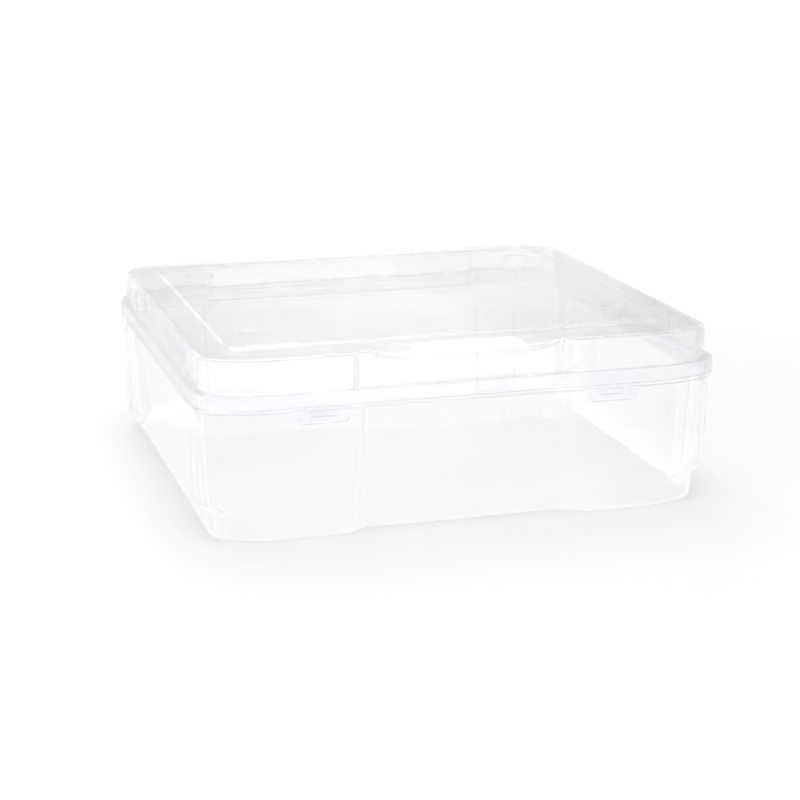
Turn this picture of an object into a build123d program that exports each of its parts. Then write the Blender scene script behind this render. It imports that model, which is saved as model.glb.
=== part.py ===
from build123d import *
import os
from math import cos, radians, sin, sqrt

# Scrapbook storage case: a deep clear tray for 12 inch paper, with a hinged snap-down lid.
# Millimetres. X is to the right, Y to the back, Z up. The origin is the middle of the
# tray's underside, where the case stands.

# Whole case
case_half_width = 185.7
case_half_depth = 172.9
wall = 2.0
lid_wall = 1.8
body_gap = 0.3

# Plan shape of every corner: a gentle sweep off the long face, then a tight turn
gentle_radius = 86.0
gentle_angle = 26.0
tight_radius = 20.0

# Tray: a plain tub below, corner posts that flare out above their foot, then ledge and rim
foot_half_width = 174.2
foot_half_depth = 167.0
front_flare_bottom = 17.0
front_flare_top = 24.0
back_flare_bottom = 3.0
back_flare_top = 14.0
post_half_width = 184.0
post_top_half_width = 184.7
post_top_half_depth = 168.5
ledge_bottom = 88.4
ledge_top = 91.2
ledge_half_width = 185.2
ledge_half_depth = 172.2
rim_half_width = 182.0
rim_half_depth = 168.6
rim_top = 100.2
floor_thickness = 2.2

# Set-back panels between the posts: how far out each face is and how wide it is
panel_floor_y = 157.0
panel_top_y = 165.5
front_panel_half = 70.5
back_panel_half = 114.5
back_post_far = 150.3
side_panel_floor_x = 174.0
side_panel_top_x = 180.0
side_panel_half = 129.0
front_step_slope = 1.4
back_step_slope = 0.1
side_step_slope = 0.35
cutter_reach = 200.0
step_round = 3.2

# Lid
lid_half_width = 180.3
lid_half_depth = 168.9
skirt_bottom = ledge_top + body_gap
shoulder_top = 102.7
lid_top = 124.6
lid_round = 2.5
shoulder_round = 2.6
recess_front_y = 165.0
recess_front_half = 74.5
recess_back_y = 164.0
recess_back_top = 121.8
recess_side_x = 176.3
recess_side_half = 98.0
recess_side_top = 119.5
recess_slope = 1.3
recess_back_slope = 0.0

# Raised panel on the lid and the round marks beside its corners
panel_half_x = 158.5
panel_half_y = 140.8
panel_centre_y = 5.0
panel_height = 2.0
panel_corner = 17.0
mark_radius = 11.0
mark_depth = 0.8
mark_x = 130.0
mark_offset_y = 99.5

# Grip lip over the lid's front recess
lip_half = 67.4
lip_back_y = 150.0
lip_bend_y = 167.0
lip_bend_dip = 2.9
lip_front_y = 169.4
lip_front_dip = 7.6
lip_edge = 2.6

# Snap latches
latch_x = 102.0
latch_half_top = 19.0
latch_half_bottom = 17.0
latch_thickness = 1.8
latch_bottom = 80.2
latch_centre_y = -(case_half_depth - latch_thickness / 2)
latch_axis_z = skirt_bottom - body_gap - latch_thickness / 2
window_half = 9.5
window_bottom = 83.6
window_top = 88.1
pull_height = 2.6
pull_depth = 1.3
latch_corner = 4.0
catch_half = 8.6
catch_bottom = 84.2
catch_top = 87.6
catch_tip_y = 172.4
notch_y = 170.0

# Living hinge
hinge_half = 107.0
hinge_notch_half = 109.4
hinge_root_y = 168.5
hinge_film = 0.6
hinge_axis_y = 173.2
hinge_axis_z = (ledge_top + skirt_bottom) / 2


def block(x_low, x_high, y_low, y_high, z_low, z_high):
    """A box given by its two corners."""
    size = Box(x_high - x_low, y_high - y_low, z_high - z_low)
    return Pos((x_low + x_high) / 2, (y_low + y_high) / 2, (z_low + z_high) / 2) * size


def plan(half_width, half_depth, z, inset=0.0):
    """The case's plan outline at height z, drawn in by inset, as a face."""
    wide = half_width - inset
    deep = half_depth - inset
    gentle = gentle_radius - inset
    tight = tight_radius - inset
    turn = radians(gentle_angle)
    half_turn = turn / 2
    mid_turn = (turn + radians(90)) / 2
    sweep_x = wide - tight - (gentle - tight) * sin(turn)
    sweep_y = deep - gentle
    tight_x = wide - tight
    tight_y = deep - gentle + (gentle - tight) * cos(turn)

    def on_gentle(angle):
        return (sweep_x + gentle * sin(angle), sweep_y + gentle * cos(angle))

    def on_tight(angle):
        return (tight_x + tight * sin(angle), tight_y + tight * cos(angle))

    quarter = [on_gentle(0), on_gentle(half_turn), on_gentle(turn), on_tight(mid_turn), (wide, tight_y)]
    edges = []
    previous = None
    for sign_x, sign_y, points in (
        (1, 1, quarter),
        (1, -1, quarter[::-1]),
        (-1, -1, quarter),
        (-1, 1, quarter[::-1]),
    ):
        placed = [(sign_x * x, sign_y * y, z) for x, y in points]
        if previous is not None:
            edges.append(Line(previous, placed[0]))
        else:
            first = placed[0]
        edges.append(ThreePointArc(placed[0], placed[1], placed[2]))
        edges.append(ThreePointArc(placed[2], placed[3], placed[4]))
        previous = placed[4]
    edges.append(Line(previous, first))
    return make_face(edges)


def drafted(low, high, z_low, z_high, inset=0.0):
    """A solid between two plan outlines, each given by its half width and half depth."""
    return loft([plan(*low, z_low, inset), plan(*high, z_high, inset)], ruled=True)


def panel_cutter(floor_face, top_face, half, slope, grow, z_top):
    """What a set-back panel takes out of the tray's front wall, grown by grow all round."""

    def section(z, face):
        near = face - grow
        near_half = half - slope * grow + grow * sqrt(1 + slope * slope)
        far_half = near_half + slope * (cutter_reach - near)
        corners = [
            (-near_half, -near, z),
            (near_half, -near, z),
            (far_half, -cutter_reach, z),
            (-far_half, -cutter_reach, z),
        ]
        return make_face(Polyline(*corners, close=True))

    return loft([section(0, floor_face), section(z_top, top_face)], ruled=True)


def corner_cutter(side, grow, z_top):
    """What is taken out of the back wall between a back post and the case's corner."""

    def section(z, face):
        near = face - grow
        reach = grow * sqrt(1 + back_step_slope ** 2)
        near_x = back_post_far + back_step_slope * grow - reach
        far_x = near_x - back_step_slope * (cutter_reach - near)
        corners = [
            (side * near_x, near, z),
            (side * cutter_reach, near, z),
            (side * cutter_reach, cutter_reach, z),
            (side * far_x, cutter_reach, z),
        ]
        return make_face(Polyline(*corners, close=True))

    return loft([section(0, panel_floor_y), section(z_top, panel_top_y)], ruled=True)


def panel_cutters(grow, z_top):
    """The cutters for the four set-back panels of the tray, and for its two back corners."""
    y_faces = (panel_floor_y, panel_top_y)
    x_faces = (side_panel_floor_x, side_panel_top_x)
    front = panel_cutter(*y_faces, front_panel_half, front_step_slope, grow, z_top)
    back = panel_cutter(*y_faces, back_panel_half, back_step_slope, grow, z_top)
    side = panel_cutter(*x_faces, side_panel_half, side_step_slope, grow, z_top)
    panels = [front, back.rotate(Axis.Z, 180), side.rotate(Axis.Z, 90), side.rotate(Axis.Z, -90)]
    return panels + [corner_cutter(-1, grow, z_top), corner_cutter(1, grow, z_top)]


def stack(levels, inset=0.0):
    """A solid that runs through outlines of half width, half depth and height, drawn in by inset."""
    whole = None
    for low, high in zip(levels, levels[1:]):
        piece = drafted(low[:2], high[:2], low[2], high[2], inset)
        whole = piece if whole is None else whole + piece
    return whole


def tray_levels(z_start, flare_bottom, flare_top):
    """The outlines of the tray from z_start up to the ledge, with its flare where stated."""
    lean_x = (side_panel_top_x - side_panel_floor_x) / ledge_bottom
    lean_y = (post_top_half_depth - foot_half_depth) / ledge_bottom
    return [
        (foot_half_width + lean_x * z_start, foot_half_depth + lean_y * z_start, z_start),
        (foot_half_width + lean_x * flare_bottom, foot_half_depth + lean_y * flare_bottom, flare_bottom),
        (post_half_width, foot_half_depth + lean_y * flare_top, flare_top),
        (post_top_half_width, post_top_half_depth, ledge_bottom),
    ]


def tray_body(z_start, inset):
    """The tray from z_start up to the ledge: the front posts flare higher up than the back ones."""
    front_levels = tray_levels(z_start, front_flare_bottom, front_flare_top)
    back_levels = tray_levels(z_start, back_flare_bottom, back_flare_top)
    front = stack(front_levels, inset) & block(-300, 300, -300, 0, -1, 200)
    back = stack(back_levels, inset) & block(-300, 300, 0, 300, -1, 200)
    body = front + back
    for cutter in panel_cutters(inset, ledge_bottom):
        body -= cutter
    return fillet(post_edges(body), step_round - inset)


def post_edges(body):
    """The upright edges where the front posts turn in, and where all the posts' side faces do."""
    found = []
    for edge in body.edges():
        middle = edge.position_at(0.5)
        upright = edge.length > 40 and abs(edge.tangent_at(0.5).Z) > 0.9
        on_front = middle.Y < -165 and abs(middle.X) < 125
        on_side = abs(middle.X) > 181 and abs(middle.Y) < 135
        if upright and (on_front or on_side):
            found.append(edge)
    return found


def tray_outside():
    """The tray's outer form: foot, posts and set-back panels, with the ledge on top."""
    body = tray_body(0, 0)
    ledge = extrude(plan(ledge_half_width, ledge_half_depth, ledge_bottom), ledge_top - ledge_bottom)
    rim = extrude(plan(rim_half_width, rim_half_depth, ledge_bottom), rim_top - ledge_bottom)
    return body + ledge + rim


def tray_inside():
    """The space inside the tray, which follows its walls at one thickness."""
    inside = tray_body(floor_thickness, wall)
    opening = plan(rim_half_width, rim_half_depth, ledge_bottom - 0.5, wall)
    shelf = extrude(opening, wall + 0.5)
    for cutter in panel_cutters(wall, ledge_bottom + wall):
        shelf -= cutter
    mouth = Pos(0, 0, wall + 0.5) * extrude(opening, rim_top - ledge_bottom + 1)
    return inside + shelf + mouth


def base_tray():
    """The deep tray, with its rim cut away for the hinge and its ledge for the latches."""
    tray = tray_outside() - tray_inside()
    hinge_clear = hinge_notch_half + 2.6
    tray -= block(-hinge_clear, hinge_clear, recess_back_y - 4, case_half_depth, ledge_top, rim_top + 1)
    tray -= block(-hinge_half, hinge_half, hinge_root_y, case_half_depth, ledge_bottom - 1, ledge_top + 1)
    for side in (-1, 1):
        low = side * latch_x - latch_half_top - 1
        high = side * latch_x + latch_half_top + 1
        tray -= block(low, high, -case_half_depth, -notch_y, ledge_bottom - 1, ledge_top + 1)
    return tray


def catch(side, tray):
    """The wedge on the tray's front that a latch snaps over: sloped above, flat below."""
    root_y = 167.6
    outline = [
        (0, -root_y, catch_bottom),
        (0, -catch_tip_y, catch_bottom),
        (0, -catch_tip_y, catch_bottom + 0.8),
        (0, -root_y - 2.4, catch_top),
        (0, -root_y, catch_top),
    ]
    wedge = extrude(make_face(Polyline(*outline, close=True)), catch_half, both=True)
    return Pos(side * latch_x, 0, 0) * wedge - tray


def grip_lip():
    """The drooping lip at the middle of the lid's front edge, which turns down at its front."""

    def section(y, dip, thick):
        top = lid_top
        bottom = lid_top - thick
        right_top = (lip_half, -y, top)
        right_bottom = (lip_half, -y, bottom)
        left_bottom = (-lip_half, -y, bottom)
        left_top = (-lip_half, -y, top)
        upper = ThreePointArc(left_top, (0, -y, top - dip), right_top)
        lower = ThreePointArc(right_bottom, (0, -y, bottom - dip), left_bottom)
        return make_face([upper, Line(right_top, right_bottom), lower, Line(left_bottom, left_top)])

    back = section(lip_back_y, 0.05, lid_wall)
    bend = section(lip_bend_y, lip_bend_dip, lid_wall)
    front = section(lip_front_y, lip_front_dip, lip_edge)
    return loft([back, bend], ruled=True) + loft([bend, front], ruled=True)


def panel_outline(inset, z):
    """The raised panel's rounded outline at height z, drawn in by inset."""
    outline = RectangleRounded(2 * (panel_half_x - inset), 2 * (panel_half_y - inset), panel_corner - inset)
    return Pos(0, panel_centre_y, z) * outline


def raised_panel(inset, z_low, height):
    """The flat raised panel of the lid, with sloped edges."""
    low = panel_outline(inset, z_low)
    high = panel_outline(inset + height, z_low + height)
    return loft([low, high], ruled=True)


def recess_cutter(face, half, slope, grow, z_low, z_high):
    """What a recess takes out of the lid's front wall, grown by grow to the back and sides."""
    near = face - grow
    near_half = half - slope * grow + grow * sqrt(1 + slope * slope)
    far_half = near_half + slope * (cutter_reach - near)
    corners = [
        (-near_half, -near, z_low),
        (near_half, -near, z_low),
        (far_half, -cutter_reach, z_low),
        (-far_half, -cutter_reach, z_low),
    ]
    return extrude(make_face(Polyline(*corners, close=True)), z_high - z_low, dir=(0, 0, 1))


def lid_recesses(grow):
    """What the set-back stretches take out of the lid's four walls, and the hinge out of its skirt."""
    floor = shoulder_top - grow
    front = recess_cutter(recess_front_y, recess_front_half, recess_slope, grow, floor, lid_top + 5)
    back_top = recess_back_top + grow
    back = recess_cutter(recess_back_y, hinge_notch_half, recess_back_slope, grow, floor, back_top)
    side = recess_cutter(recess_side_x, recess_side_half, recess_slope, grow, floor, recess_side_top + grow)
    notch = hinge_notch_half + grow
    hinge = block(-notch, notch, hinge_root_y - grow, cutter_reach, skirt_bottom - 3, shoulder_top + 1)
    return [front, back.rotate(Axis.Z, 180), side.rotate(Axis.Z, 90), side.rotate(Axis.Z, -90), hinge]


def lid_form(z_low, z_high, inset):
    """The lid's crown and skirt from z_low up to z_high, drawn in by inset, without its roundings."""
    shoulder = shoulder_top - inset
    crown_low = (lid_half_width + 0.7, lid_half_depth + 0.6)
    crown_high = (lid_half_width, lid_half_depth)
    crown = drafted(crown_low, crown_high, 99, z_high, inset)
    skirt = extrude(plan(case_half_width, case_half_depth, z_low, inset), shoulder - z_low)
    if inset == 0:
        skirt = fillet(skirt.edges().group_by(Axis.Z)[-1], shoulder_round)
    form = crown + skirt
    for cutter in lid_recesses(inset):
        form -= cutter
    return form


def lid_cover():
    """The lid: crown, shoulder and skirt at one wall thickness, with its lip and marks."""
    inside_top = lid_top - lid_wall
    outside = lid_form(skirt_bottom, lid_top, 0)
    outside = fillet(outside.edges().group_by(Axis.Z)[-1], lid_round)
    lid = outside - lid_form(skirt_bottom - 1, inside_top, lid_wall)
    lid += raised_panel(0, lid_top, panel_height)
    lid -= raised_panel(lid_wall / 2, inside_top - 0.01, panel_height + 0.01)
    for side in (-1, 1):
        for end in (-1, 1):
            mark = Cylinder(mark_radius, 2 * mark_depth)
            lid -= Pos(side * mark_x, panel_centre_y + end * mark_offset_y, lid_top + panel_height) * mark
    lid -= block(-lip_half, lip_half, -recess_front_y - 5, -lip_back_y, inside_top - 1, lid_top + 5)
    return lid + grip_lip()


def latch(side):
    """One snap latch: a tapered tab with a window, hung from the skirt's lower edge."""
    back_y = latch_centre_y + latch_thickness / 2
    outline = [
        (-latch_half_top, back_y, latch_axis_z),
        (latch_half_top, back_y, latch_axis_z),
        (latch_half_bottom, back_y, latch_bottom),
        (-latch_half_bottom, back_y, latch_bottom),
    ]
    shape = make_face(Polyline(*outline, close=True))
    shape = fillet(shape.vertices().group_by(Axis.Z)[0], latch_corner)
    tab = extrude(shape, latch_thickness, dir=(0, -1, 0))
    band = block(-30, 30, -case_half_depth - 10, back_y, latch_bottom - 1, latch_bottom + pull_height)
    tab += extrude(shape, latch_thickness + pull_depth, dir=(0, -1, 0)) & band
    barrel = Cylinder(latch_thickness / 2, 2 * latch_half_top).rotate(Axis.Y, 90)
    tab += Pos(0, latch_centre_y, latch_axis_z) * barrel
    tab -= block(-window_half, window_half, -case_half_depth - 3, back_y + 1, window_bottom, window_top)
    return Pos(side * latch_x, 0, 0) * tab


def hinge_leaf(z_low):
    """Half of the thin hinge strip, from its root out to the fold."""
    return block(-hinge_half, hinge_half, hinge_root_y, hinge_axis_y - 0.05, z_low, z_low + hinge_film)


os.makedirs("parts", exist_ok=True)
tray = base_tray()
pieces = {
    "base_tray": tray,
    "catch_left": catch(-1, tray),
    "catch_right": catch(1, tray),
    "hinge_leaf_tray": hinge_leaf(ledge_top - hinge_film),
    "hinge_leaf_lid": hinge_leaf(skirt_bottom),
    "lid_cover": lid_cover(),
    "latch_left": latch(-1),
    "latch_right": latch(1),
}
for name, piece in pieces.items():
    export_step(piece, f"parts/{name}.step")
    print(name, round(piece.volume), piece.bounding_box().size)
print("lid hinge axis", hinge_axis_y, hinge_axis_z, "latch axis", latch_centre_y, latch_axis_z)
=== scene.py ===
"""A clear scrapbook storage case with a hinged lid, in a bright white studio. Lengths are in metres."""

import math

import bpy
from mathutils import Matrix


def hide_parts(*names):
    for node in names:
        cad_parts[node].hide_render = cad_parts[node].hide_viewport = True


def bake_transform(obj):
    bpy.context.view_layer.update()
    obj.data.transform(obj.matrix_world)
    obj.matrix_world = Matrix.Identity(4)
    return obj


MM = 0.001

# The photograph's camera, from the fit to the case's edges
CAMERA_PLACE = (-415.2 * MM, -1410.4 * MM, 439.8 * MM)
CAMERA_TILT = 74.92
CAMERA_TURN = -16.44
CAMERA_LENS = 90.79
CAMERA_SENSOR = 36

# The floor. Its glow rises with distance. Seen through the plastic it has values of its own: dimmer to
# the right of the case and behind it at the left, and darkest far right, for the case's right outline
FLOOR_SIZE = 12.0
FLOOR_LEVEL = -0.3 * MM
FLOOR_ALBEDO = 0.9
FLOOR_SEEN_ALBEDO = 0.66
FLOOR_NEAR_GLOW = 0.277
FLOOR_FAR_GLOW = 0.5
FLOOR_GLOW_STOPS = (0.5, 2.5)
FLOOR_THROUGH_ALBEDO = 0.14
FLOOR_THROUGH_GLOW = 1.01
FLOOR_RIGHT_GLOW = 0.86
FLOOR_RIGHT_STOPS = (0.19, 0.25)
FLOOR_FLAG_GLOW = 0.35
FLOOR_FLAG_STOPS = (0.42, 1.0)
FLOOR_LEFT_DIM = 0.14
FLOOR_LEFT_STOPS = (0.0, -0.12)
FLOOR_REAR_STOPS = (0.17, 0.2)

# How far light is followed through the many walls
LIGHT_BOUNCES = 24
TRANSPARENT_BOUNCES = 48

# Soft lamps
BACK_LAMP_PLACE = (-0.3, 2.7, 4.7)
BACK_LAMP_SIZE = 3.0
BACK_LAMP_POWER = 77.0
TOP_LAMP_PLACE = (0.0, -0.5, 2.3)
TOP_LAMP_SIZE = 0.8
TOP_LAMP_POWER = 8.0
REAR_LAMP_PLACE = (1.2, 3.9, 2.8)
REAR_LAMP_SIZE = 1.1
REAR_LAMP_POWER = 8.0
LEFT_LAMP_PLACE = (-2.4, -0.6, 1.0)
LEFT_LAMP_SIZE = 1.0
LEFT_LAMP_POWER = 10.0

# The sky that the plastic mirrors: white at the horizon, dimmer above it and more so to the sides,
# lighter overhead and far left
SKY_HORIZON = 1.0
SKY_MIDDLE = 0.56
SKY_SIDES = 0.36
SKY_HIGH = 0.72
SKY_LOW_STOPS = (0.15, 0.25)
SKY_HIGH_STOPS = (0.34, 0.55)
SKY_ACROSS = (0.959, -0.282)
SKY_ACROSS_STOPS = (0.03, 0.14)
SKY_FAR = 0.8
SKY_FAR_STOPS = (-0.17, -0.24)

# Clear, faintly milky plastic. A cover is the share of light that does not go straight through, face on
# and edge on. The dark rims where a wall is edge on are painted shade, a dark violet colour. A higher rim
# power makes the dark rims narrower
TRAY_INDEX = 1.215
LID_INDEX = 1.26
GLOSS = 1.0
GLOSS_INDEX = 1.5
GLOSS_ROUGHNESS = 0.03
CLEARNESS = 0.9
HINGE_GLOSS = 0.1
HINGE_CLEARNESS = 0.7
TRAY_RIM_POWER = 7.0
LID_RIM_POWER = 7.6
TRAY_COVER = (0.32, 0.95)
LID_COVER = (0.42, 0.95)
LATCH_COVER = (0.4, 0.7)
HINGE_COVER = (0.22, 0.3)
TRAY_ROUGHNESS = (0.02, 0.07)
LID_ROUGHNESS = (0.02, 0.06)
LATCH_ROUGHNESS = (0.04, 0.1)
HINGE_ROUGHNESS = (0.1, 0.2)
TRAY_RIPPLE = 0.15
LID_RIPPLE = 0.1
LID_HINGE_RIPPLE = 1.0
HINGE_RIPPLE = 0.3
CLEAR_TINT = (0.988, 0.987, 1.0)
DEEP_TINT = (0.955, 0.955, 0.99)
PAINTED_RIM_SHADE = (0.22, 0.2, 0.38)
# Painted warm backlight on the lid's back wall
PAINTED_BACKLIGHT_TINT = (1.0, 0.955, 0.82)
BROWN_TINT = (0.52, 0.42, 0.37)

# The uneven surface of moulded plastic
HAZE_SCALE = 9.0
HAZE_DETAIL = 3.0
HAZE_STOPS = (0.3, 0.7)
HAZE_COVER = (0.9, 1.1)
RIPPLE_SCALE = 26.0
RIPPLE_DETAIL = 1.0
WAVE_SCALE = 70.0
WAVE_DETAIL = 2.0
WAVE_STRETCH = (1.0, 1.0, 2.6)
WAVE_WALL_Y = (150.0 * MM, 162.0 * MM)
SPECKLE_SCALE = 420.0
SPECKLE_STOPS = (0.3, 0.7)
BUMP_STRENGTH = 0.6
BUMP_DISTANCE = 1.2 * MM

# Flow marks on the lid's back wall, above the hinge. Above the flow line the wall carries a painted warm
# backlight: it turns cream and lets more light straight through
FLOW_WALL_Y = (155.0 * MM, 162.0 * MM)
FLOW_LINE_Z = 104.5 * MM
FLOW_WAVE = 4.0 * MM
FLOW_LINE_WIDTHS = (0.3 * MM, 1.1 * MM)
FLOW_BAND_EDGE = (-0.4 * MM, 0.4 * MM)
FLOW_BACKLIGHT_RISE = (0.0, 4.0 * MM)
FLOW_SWAY_NOISE = (55.0, 3.0, (1.0, 0.0, 0.3))
FLOW_BREAK_NOISE = (70.0, 2.0, (1.0, 0.0, 0.0))
FLOW_BREAK_STOPS = (0.42, 0.5)
FLOW_STREAK_NOISE = (60.0, 4.0, (0.5, 0.0, 7.0))
FLOW_STREAK_STOPS = (0.38, 0.62, 0.15, 1.0)
FLOW_BAND_SHARE = 0.4
FLOW_DARK_COVER = 0.45
FLOW_BACKLIGHT_COVER = 0.12

# The thin hinge strip: two leaves and the fold between them
HINGE_HALF = 106.9 * MM
HINGE_ROOT_Y = 168.6 * MM
HINGE_FOLD_Y = 172.4 * MM
HINGE_AXIS_Z = 91.35 * MM
HINGE_LEAF_RISE = 0.45 * MM
HINGE_FILM = 0.5 * MM
HINGE_WAVE = 0.7 * MM
HINGE_WAVE_LENGTH = 11.0 * MM
HINGE_STEPS = 180
HINGE_LEAF_STEPS = 3
HINGE_FOLD_STEPS = 8
HINGE_MERGE = 0.01 * MM
HINGE_LEVEL_BAND = 0.2 * MM
HINGE_SMOOTH_ANGLE = 50


def deselect_all():
    """Nothing is selected and nothing is active."""
    for thing in bpy.context.selected_objects:
        thing.select_set(False)
    bpy.context.view_layer.objects.active = None


def make_active(thing):
    """Only this object is selected, and it is active."""
    deselect_all()
    thing.select_set(True)
    bpy.context.view_layer.objects.active = thing


def add_math(tree, operation, first, second):
    """A Math node whose inputs are sockets or plain numbers, and its output."""
    node = tree.nodes.new("ShaderNodeMath")
    node.operation = operation
    for socket, value in zip(node.inputs, (first, second)):
        if isinstance(value, (int, float)):
            socket.default_value = value
        else:
            tree.links.new(value, socket)
    return node.outputs["Value"]


def add_range(tree, value, from_low, from_high, to_low, to_high):
    """A Map Range node whose bounds are sockets or plain numbers, and its output."""
    node = tree.nodes.new("ShaderNodeMapRange")
    tree.links.new(value, node.inputs["Value"])
    names = ("From Min", "From Max", "To Min", "To Max")
    for name, bound in zip(names, (from_low, from_high, to_low, to_high)):
        if isinstance(bound, (int, float)):
            node.inputs[name].default_value = bound
        else:
            tree.links.new(bound, node.inputs[name])
    return node.outputs["Result"]


def make_moulding_group():
    """The uneven surface of moulded plastic: soft haze, broad ripple, and waves near the hinge."""
    group = bpy.data.node_groups.new("moulded_plastic", "ShaderNodeTree")
    face = group.interface
    for name, value in (
        ("Haze Scale", HAZE_SCALE),
        ("Ripple Scale", RIPPLE_SCALE),
        ("Ripple", 0.0),
        ("Hinge Ripple", 0.0),
        ("Hinge From", WAVE_WALL_Y[0]),
        ("Hinge To", WAVE_WALL_Y[1]),
    ):
        socket = face.new_socket(name, in_out="INPUT", socket_type="NodeSocketFloat")
        socket.default_value = value
    for name in ("Haze", "Height", "Speckle"):
        face.new_socket(name, in_out="OUTPUT", socket_type="NodeSocketFloat")
    take = group.nodes.new("NodeGroupInput")
    give = group.nodes.new("NodeGroupOutput")
    place = group.nodes.new("ShaderNodeTexCoord")
    split = group.nodes.new("ShaderNodeSeparateXYZ")
    group.links.new(place.outputs["Object"], split.inputs["Vector"])

    haze = group.nodes.new("ShaderNodeTexNoise")
    haze.inputs["Detail"].default_value = HAZE_DETAIL
    group.links.new(place.outputs["Object"], haze.inputs["Vector"])
    group.links.new(take.outputs["Haze Scale"], haze.inputs["Scale"])
    haze_value = add_range(group, haze.outputs["Fac"], *HAZE_STOPS, 0.0, 1.0)
    group.links.new(haze_value, give.inputs["Haze"])

    ripple = group.nodes.new("ShaderNodeTexNoise")
    ripple.inputs["Detail"].default_value = RIPPLE_DETAIL
    group.links.new(place.outputs["Object"], ripple.inputs["Vector"])
    group.links.new(take.outputs["Ripple Scale"], ripple.inputs["Scale"])
    wall = (take.outputs["Hinge From"], take.outputs["Hinge To"])
    near_hinge = add_range(group, split.outputs["Y"], *wall, 0.0, 1.0)
    wave = group.nodes.new("ShaderNodeTexNoise")
    wave.inputs["Scale"].default_value = WAVE_SCALE
    wave.inputs["Detail"].default_value = WAVE_DETAIL
    stretch = group.nodes.new("ShaderNodeMapping")
    stretch.inputs["Scale"].default_value = WAVE_STRETCH
    group.links.new(place.outputs["Object"], stretch.inputs["Vector"])
    group.links.new(stretch.outputs["Vector"], wave.inputs["Vector"])
    broad = add_math(group, "MULTIPLY", ripple.outputs["Fac"], take.outputs["Ripple"])
    waves = add_math(group, "MULTIPLY", wave.outputs["Fac"], near_hinge)
    waves = add_math(group, "MULTIPLY", waves, take.outputs["Hinge Ripple"])
    group.links.new(add_math(group, "ADD", broad, waves), give.inputs["Height"])

    speckle = group.nodes.new("ShaderNodeTexNoise")
    speckle.inputs["Scale"].default_value = SPECKLE_SCALE
    group.links.new(place.outputs["Object"], speckle.inputs["Vector"])
    group.links.new(speckle.outputs["Fac"], give.inputs["Speckle"])
    return group


def make_flow_and_backlight_group():
    """Flow marks on a back wall: a wavy broken line and a streaky band below it, and a painted warm
    backlight on the wall above.
    """
    group = bpy.data.node_groups.new("flow_marks_and_backlight", "ShaderNodeTree")
    face = group.interface
    for name, value in (
        ("Wall From", FLOW_WALL_Y[0]),
        ("Wall To", FLOW_WALL_Y[1]),
        ("Line Height", FLOW_LINE_Z),
        ("Wave", FLOW_WAVE),
    ):
        socket = face.new_socket(name, in_out="INPUT", socket_type="NodeSocketFloat")
        socket.default_value = value
    for name in ("Line", "Band", "Painted Backlight"):
        face.new_socket(name, in_out="OUTPUT", socket_type="NodeSocketFloat")
    take = group.nodes.new("NodeGroupInput")
    give = group.nodes.new("NodeGroupOutput")
    place = group.nodes.new("ShaderNodeTexCoord")
    split = group.nodes.new("ShaderNodeSeparateXYZ")
    group.links.new(place.outputs["Object"], split.inputs["Vector"])

    def stretched_noise(scale, detail, stretch):
        """Noise that is drawn out along the wall."""
        spread = group.nodes.new("ShaderNodeMapping")
        spread.inputs["Scale"].default_value = stretch
        noise = group.nodes.new("ShaderNodeTexNoise")
        noise.inputs["Scale"].default_value = scale
        noise.inputs["Detail"].default_value = detail
        group.links.new(place.outputs["Object"], spread.inputs["Vector"])
        group.links.new(spread.outputs["Vector"], noise.inputs["Vector"])
        return noise.outputs["Fac"]

    wall = (take.outputs["Wall From"], take.outputs["Wall To"])
    on_wall = add_range(group, split.outputs["Y"], *wall, 0.0, 1.0)
    sway = add_math(group, "SUBTRACT", stretched_noise(*FLOW_SWAY_NOISE), 0.5)
    sway = add_math(group, "MULTIPLY", sway, take.outputs["Wave"])
    height = add_math(group, "ADD", split.outputs["Z"], sway)
    above = add_math(group, "SUBTRACT", height, take.outputs["Line Height"])
    off_line = add_math(group, "ABSOLUTE", above, 0.0)
    broken = add_range(group, stretched_noise(*FLOW_BREAK_NOISE), *FLOW_BREAK_STOPS, 0.0, 1.0)
    line = add_range(group, off_line, *FLOW_LINE_WIDTHS, 1.0, 0.0)
    line = add_math(group, "MULTIPLY", line, broken)
    group.links.new(add_math(group, "MULTIPLY", line, on_wall), give.inputs["Line"])

    below = add_range(group, above, *FLOW_BAND_EDGE, 1.0, 0.0)
    streaks = add_range(group, stretched_noise(*FLOW_STREAK_NOISE), *FLOW_STREAK_STOPS)
    band = add_math(group, "MULTIPLY", below, streaks)
    group.links.new(add_math(group, "MULTIPLY", band, on_wall), give.inputs["Band"])

    # Painted warm backlight: the wall above the flow line, as if lit from behind
    rise = add_range(group, above, *FLOW_BACKLIGHT_RISE, 0.0, 1.0)
    painted_backlight = add_math(group, "MULTIPLY", rise, on_wall)
    group.links.new(painted_backlight, give.inputs["Painted Backlight"])
    return group


def mix_colour(tree, share, first, second):
    """A colour mix whose colours are sockets or plain colours, and its output."""
    node = tree.nodes.new("ShaderNodeMix")
    node.data_type = "RGBA"
    tree.links.new(share, node.inputs["Factor"])
    sockets = [socket for socket in node.inputs if socket.type == "RGBA"]
    for socket, value in zip(sockets, (first, second)):
        if isinstance(value, tuple):
            socket.default_value = (*value, 1)
        else:
            tree.links.new(value, socket)
    return next(socket for socket in node.outputs if socket.type == "RGBA")


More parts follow.
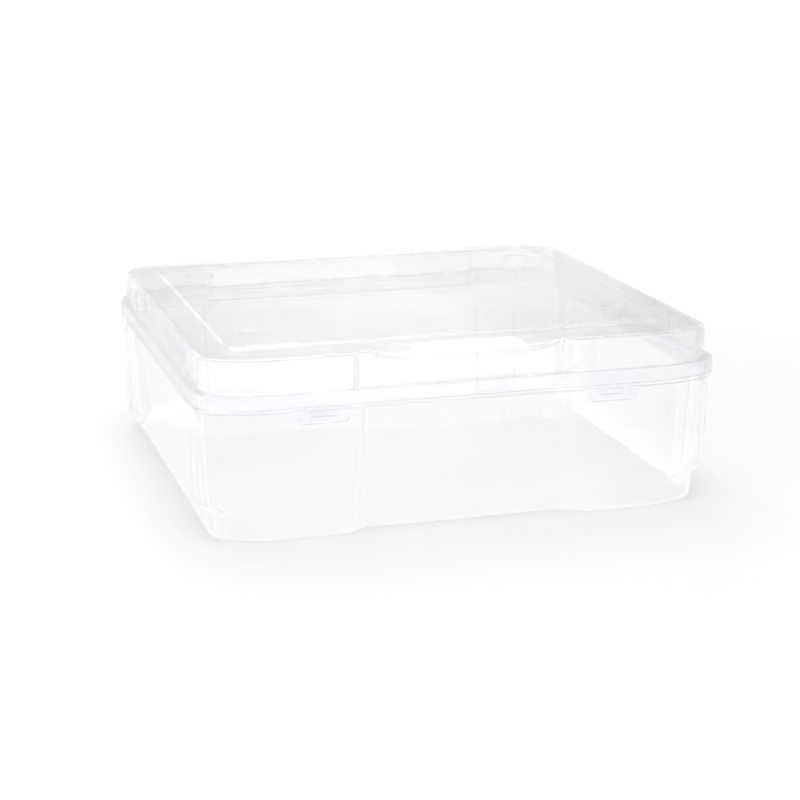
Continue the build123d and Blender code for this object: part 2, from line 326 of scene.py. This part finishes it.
def clear_plastic(name, index, clearness, gloss, covers, rim, rough, ripple, hinge_ripple=0.0, flow_and_backlight=False):
    """Clear plastic. Part of the light goes straight on: more face on, less where a wall is edge on."""
    face_on, edge_on = covers
    material = bpy.data.materials.new(name)
    material.use_nodes = True
    tree = material.node_tree
    shader = tree.nodes["Principled BSDF"]
    shader.inputs["IOR"].default_value = index
    shader.inputs["Transmission Weight"].default_value = clearness
    shader.inputs["Coat IOR"].default_value = GLOSS_INDEX
    shader.inputs["Coat Roughness"].default_value = GLOSS_ROUGHNESS
    moulding = tree.nodes.new("ShaderNodeGroup")
    moulding.node_tree = moulding_group
    moulding.inputs["Ripple"].default_value = ripple
    moulding.inputs["Hinge Ripple"].default_value = hinge_ripple
    haze = moulding.outputs["Haze"]

    weight = tree.nodes.new("ShaderNodeLayerWeight")
    weight.inputs["Blend"].default_value = 0.5
    grazing = add_math(tree, "POWER", weight.outputs["Facing"], rim)
    cover = add_range(tree, grazing, 0.0, 1.0, face_on, edge_on)
    tree.links.new(add_range(tree, grazing, 0.0, 1.0, gloss, 0.0), shader.inputs["Coat Weight"])
    cover = add_math(tree, "MULTIPLY", cover, add_range(tree, haze, 0.0, 1.0, *HAZE_COVER))

    colour = mix_colour(tree, haze, CLEAR_TINT, DEEP_TINT)
    if flow_and_backlight:
        marks = tree.nodes.new("ShaderNodeGroup")
        marks.node_tree = flow_and_backlight_group
        painted_backlight = marks.outputs["Painted Backlight"]
        # Painted warm backlight: above the flow line the wall turns cream
        colour = mix_colour(tree, painted_backlight, colour, PAINTED_BACKLIGHT_TINT)
        band = add_math(tree, "MULTIPLY", marks.outputs["Band"], FLOW_BAND_SHARE)
        dark = add_math(tree, "MAXIMUM", marks.outputs["Line"], band)
        colour = mix_colour(tree, dark, colour, BROWN_TINT)
        cover = add_math(tree, "ADD", cover, add_math(tree, "MULTIPLY", dark, FLOW_DARK_COVER))
        # Painted warm backlight: above the flow line the wall lets more light straight through, so it
        # shows brighter
        cover = add_math(tree, "SUBTRACT", cover, add_math(tree, "MULTIPLY", painted_backlight, FLOW_BACKLIGHT_COVER))
    # Painted shade: where a wall is edge on, the colour turns dark violet for the dark rims
    colour = mix_colour(tree, grazing, colour, PAINTED_RIM_SHADE)
    tree.links.new(colour, shader.inputs["Base Color"])
    tree.links.new(cover, shader.inputs["Alpha"])

    roughness = add_range(tree, moulding.outputs["Speckle"], *SPECKLE_STOPS, *rough)
    tree.links.new(roughness, shader.inputs["Roughness"])
    bump = tree.nodes.new("ShaderNodeBump")
    bump.inputs["Strength"].default_value = BUMP_STRENGTH
    bump.inputs["Distance"].default_value = BUMP_DISTANCE
    tree.links.new(moulding.outputs["Height"], bump.inputs["Height"])
    tree.links.new(bump.outputs["Normal"], shader.inputs["Normal"])
    return material


def choose_edge(strip, level):
    """Only the strip's rearmost edge at about one height is selected. It ends in edit mode."""
    bpy.ops.object.mode_set(mode="OBJECT")
    points = strip.data.vertices
    ys = [point.co.y for point in points if abs(point.co.z - level) < HINGE_LEVEL_BAND]
    for part in (strip.data.vertices, strip.data.edges, strip.data.polygons):
        for piece in part:
            piece.select = False
    chosen = set()
    for point in points:
        if abs(point.co.z - level) < HINGE_LEVEL_BAND and point.co.y > max(ys) - HINGE_MERGE:
            point.select = True
            chosen.add(point.index)
    for edge in strip.data.edges:
        edge.select = all(index in chosen for index in edge.vertices)
    bpy.ops.object.mode_set(mode="EDIT")
    bpy.ops.mesh.select_mode(type="EDGE")


def fold_hinge_strip():
    """The hinge: a thin wavy sheet from the tray's ledge, folded back on itself to the lid's skirt."""
    deselect_all()
    depth = HINGE_FOLD_Y - HINGE_ROOT_Y
    low = HINGE_AXIS_Z - HINGE_LEAF_RISE
    bpy.ops.mesh.primitive_grid_add(
        x_subdivisions=HINGE_STEPS, y_subdivisions=HINGE_LEAF_STEPS, size=1, location=(0, 0, 0)
    )
    strip = bpy.context.active_object
    strip.name = "hinge_strip"
    bpy.ops.object.mode_set(mode="EDIT")
    bpy.ops.mesh.select_all(action="SELECT")
    bpy.ops.transform.resize(value=(2 * HINGE_HALF, depth, 1))
    bpy.ops.transform.translate(value=(0, (HINGE_FOLD_Y + HINGE_ROOT_Y) / 2, low))
    choose_edge(strip, low)
    centre = (0, HINGE_FOLD_Y, HINGE_AXIS_Z)
    bpy.ops.mesh.spin(steps=HINGE_FOLD_STEPS, angle=math.pi, center=centre, axis=(1, 0, 0))
    choose_edge(strip, HINGE_AXIS_Z + HINGE_LEAF_RISE)
    for step in range(HINGE_LEAF_STEPS):
        move = {"value": (0, -depth / HINGE_LEAF_STEPS, 0)}
        bpy.ops.mesh.extrude_region_move(TRANSFORM_OT_translate=move)
    bpy.ops.mesh.select_all(action="SELECT")
    bpy.ops.mesh.remove_doubles(threshold=HINGE_MERGE)
    bpy.ops.mesh.normals_make_consistent(inside=False)
    bpy.ops.object.mode_set(mode="OBJECT")

    texture = bpy.data.textures.new("hinge_waves", "CLOUDS")
    texture.noise_scale = HINGE_WAVE_LENGTH
    waves = strip.modifiers.new("waves", "DISPLACE")
    waves.texture = texture
    waves.texture_coords = "LOCAL"
    waves.direction = "Z"
    waves.strength = HINGE_WAVE
    waves.mid_level = 0.5
    film = strip.modifiers.new("film", "SOLIDIFY")
    film.thickness = HINGE_FILM
    film.offset = 0.0
    make_active(strip)
    for modifier in ("waves", "film"):
        bpy.ops.object.modifier_apply(modifier=modifier)
    bpy.ops.object.shade_smooth_by_angle(angle=math.radians(HINGE_SMOOTH_ANGLE))
    strip.data.materials.append(hinge_plastic)
    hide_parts("hinge_leaf_tray", "hinge_leaf_lid")
    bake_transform(strip)


def make_floor():
    """A white floor that keeps the shadow. Seen through the plastic or mirrored in it, it glows more."""
    bpy.ops.mesh.primitive_plane_add(size=FLOOR_SIZE, location=(0, 0, FLOOR_LEVEL))
    floor = bpy.context.active_object
    floor.name = "floor"
    material = bpy.data.materials.new("floor_white")
    material.use_nodes = True
    tree = material.node_tree
    tree.nodes.clear()
    output = tree.nodes.new("ShaderNodeOutputMaterial")
    matte = tree.nodes.new("ShaderNodeBsdfDiffuse")
    matte.inputs["Color"].default_value = (FLOOR_ALBEDO, FLOOR_ALBEDO, FLOOR_ALBEDO, 1)
    faint = tree.nodes.new("ShaderNodeBsdfDiffuse")
    glow = tree.nodes.new("ShaderNodeEmission")
    seen = tree.nodes.new("ShaderNodeAddShader")
    mix = tree.nodes.new("ShaderNodeMixShader")
    path = tree.nodes.new("ShaderNodeLightPath")
    glossy, bent = path.outputs["Is Glossy Ray"], path.outputs["Is Transmission Ray"]
    mirrored = add_math(tree, "MAXIMUM", glossy, bent)
    behind = add_math(tree, "GREATER_THAN", path.outputs["Transparent Depth"], 0.5)
    through = add_math(tree, "MAXIMUM", mirrored, behind)
    looked_at = add_math(tree, "MAXIMUM", path.outputs["Is Camera Ray"], mirrored)
    share = add_range(tree, through, 0.0, 1.0, FLOOR_SEEN_ALBEDO, FLOOR_THROUGH_ALBEDO)
    place = tree.nodes.new("ShaderNodeTexCoord")
    distance = tree.nodes.new("ShaderNodeVectorMath")
    distance.operation = "LENGTH"
    tree.links.new(place.outputs["Object"], distance.inputs[0])
    far = distance.outputs["Value"]
    plain = add_range(tree, far, *FLOOR_GLOW_STOPS, FLOOR_NEAR_GLOW, FLOOR_FAR_GLOW)
    split = tree.nodes.new("ShaderNodeSeparateXYZ")
    tree.links.new(place.outputs["Object"], split.inputs["Vector"])
    side = split.outputs["X"]
    behind_glow = add_range(tree, side, *FLOOR_RIGHT_STOPS, FLOOR_THROUGH_GLOW, FLOOR_RIGHT_GLOW)
    behind_glow = add_range(tree, side, *FLOOR_FLAG_STOPS, behind_glow, FLOOR_FLAG_GLOW)
    left = add_range(tree, side, *FLOOR_LEFT_STOPS, 0.0, 1.0)
    rear = add_range(tree, split.outputs["Y"], *FLOOR_REAR_STOPS, 0.0, FLOOR_LEFT_DIM)
    behind_glow = add_math(tree, "SUBTRACT", behind_glow, add_math(tree, "MULTIPLY", left, rear))
    level = add_range(tree, through, 0.0, 1.0, plain, behind_glow)
    tree.links.new(share, faint.inputs["Color"])
    tree.links.new(level, glow.inputs["Strength"])
    tree.links.new(faint.outputs["BSDF"], seen.inputs[0])
    tree.links.new(glow.outputs["Emission"], seen.inputs[1])
    tree.links.new(looked_at, mix.inputs["Fac"])
    tree.links.new(matte.outputs["BSDF"], mix.inputs[1])
    tree.links.new(seen.outputs["Shader"], mix.inputs[2])
    tree.links.new(mix.outputs["Shader"], output.inputs["Surface"])
    floor.data.materials.append(material)


def make_sky():
    """A pale surround that the plastic mirrors. The camera itself sees white."""
    world = bpy.data.worlds.new("studio")
    bpy.context.scene.world = world
    world.use_nodes = True
    tree = world.node_tree
    background = tree.nodes["Background"]
    background.inputs["Color"].default_value = (1, 1, 1, 1)
    place = tree.nodes.new("ShaderNodeTexCoord")
    split = tree.nodes.new("ShaderNodeSeparateXYZ")
    tree.links.new(place.outputs["Generated"], split.inputs["Vector"])
    height = split.outputs["Z"]
    across_x = add_math(tree, "MULTIPLY", split.outputs["X"], SKY_ACROSS[0])
    across_y = add_math(tree, "MULTIPLY", split.outputs["Y"], SKY_ACROSS[1])
    signed = add_math(tree, "ADD", across_x, across_y)
    across = add_math(tree, "ABSOLUTE", signed, 0.0)
    band = add_range(tree, across, *SKY_ACROSS_STOPS, SKY_MIDDLE, SKY_SIDES)
    far_left = add_range(tree, signed, *SKY_FAR_STOPS, 0.0, SKY_FAR - SKY_SIDES)
    band = add_math(tree, "ADD", band, far_left)
    low_part = add_range(tree, height, *SKY_LOW_STOPS, 0.0, 1.0)
    high_part = add_range(tree, height, *SKY_HIGH_STOPS, 0.0, 1.0)
    fall = add_math(tree, "MULTIPLY", low_part, add_math(tree, "SUBTRACT", band, SKY_HORIZON))
    level = add_math(tree, "ADD", fall, SKY_HORIZON)
    rise = add_math(tree, "MULTIPLY", high_part, add_math(tree, "SUBTRACT", SKY_HIGH, level))
    level = add_math(tree, "ADD", level, rise)
    path = tree.nodes.new("ShaderNodeLightPath")
    strength = add_math(tree, "MAXIMUM", level, path.outputs["Is Camera Ray"])
    tree.links.new(strength, background.inputs["Strength"])


def make_lamp(name, place, size, power, mirrored=True):
    """A soft square lamp that looks at the case. The plastic need not mirror it or let it through."""
    data = bpy.data.lights.new(name, "AREA")
    data.shape = "SQUARE"
    data.size = size
    data.energy = power
    lamp = bpy.data.objects.new(name, data)
    lamp.visible_glossy = mirrored
    lamp.visible_transmission = mirrored
    lamp.location = place
    reach = math.hypot(place[0], place[1])
    lamp.rotation_euler = (math.atan2(reach, place[2]), 0, math.atan2(place[0], -place[1]))
    bpy.context.scene.collection.objects.link(lamp)


def make_camera():
    """The photograph's camera."""
    data = bpy.data.cameras.new("camera")
    data.lens = CAMERA_LENS
    data.sensor_width = CAMERA_SENSOR
    camera = bpy.data.objects.new("camera", data)
    camera.location = CAMERA_PLACE
    camera.rotation_euler = (math.radians(CAMERA_TILT), 0, math.radians(CAMERA_TURN))
    bpy.context.scene.collection.objects.link(camera)
    bpy.context.scene.camera = camera


def coat_node(node, material):
    """Gives a carried-over CAD node its finish."""
    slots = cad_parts[node].data.materials
    slots.clear()
    slots.append(material)


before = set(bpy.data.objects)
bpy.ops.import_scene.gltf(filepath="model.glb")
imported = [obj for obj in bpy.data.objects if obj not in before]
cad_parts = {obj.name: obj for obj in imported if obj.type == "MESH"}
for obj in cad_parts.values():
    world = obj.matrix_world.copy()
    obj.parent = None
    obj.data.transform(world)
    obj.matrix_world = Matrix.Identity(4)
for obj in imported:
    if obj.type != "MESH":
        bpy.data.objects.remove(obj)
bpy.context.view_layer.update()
deselect_all()

make_camera()
make_floor()
make_sky()
make_lamp("back_softbox", BACK_LAMP_PLACE, BACK_LAMP_SIZE, BACK_LAMP_POWER)
make_lamp("top_softbox", TOP_LAMP_PLACE, TOP_LAMP_SIZE, TOP_LAMP_POWER)
make_lamp("rear_softbox", REAR_LAMP_PLACE, REAR_LAMP_SIZE, REAR_LAMP_POWER)
make_lamp("left_softbox", LEFT_LAMP_PLACE, LEFT_LAMP_SIZE, LEFT_LAMP_POWER, mirrored=False)
moulding_group = make_moulding_group()
flow_and_backlight_group = make_flow_and_backlight_group()
tray_plastic = clear_plastic(
    "tray_plastic", TRAY_INDEX, CLEARNESS, GLOSS, TRAY_COVER, TRAY_RIM_POWER, TRAY_ROUGHNESS, TRAY_RIPPLE
)
lid_plastic = clear_plastic(
    "lid_plastic", LID_INDEX, CLEARNESS, GLOSS, LID_COVER, LID_RIM_POWER, LID_ROUGHNESS, LID_RIPPLE,
    hinge_ripple=LID_HINGE_RIPPLE, flow_and_backlight=True,
)
latch_plastic = clear_plastic(
    "latch_plastic", LID_INDEX, CLEARNESS, GLOSS, LATCH_COVER, LID_RIM_POWER, LATCH_ROUGHNESS, LID_RIPPLE
)
hinge_plastic = clear_plastic(
    "hinge_plastic", TRAY_INDEX, HINGE_CLEARNESS, HINGE_GLOSS, HINGE_COVER, TRAY_RIM_POWER,
    HINGE_ROUGHNESS, HINGE_RIPPLE,
)
for node in ("base_tray", "catch_left", "catch_right"):
    coat_node(node, tray_plastic)
coat_node("lid_cover", lid_plastic)
for node in ("latch_left", "latch_right"):
    coat_node(node, latch_plastic)
fold_hinge_strip()

cycles = bpy.context.scene.cycles
cycles.max_bounces = LIGHT_BOUNCES
cycles.transmission_bounces = LIGHT_BOUNCES
cycles.transparent_max_bounces = TRANSPARENT_BOUNCES
bpy.context.scene.view_settings.view_transform = "Standard"
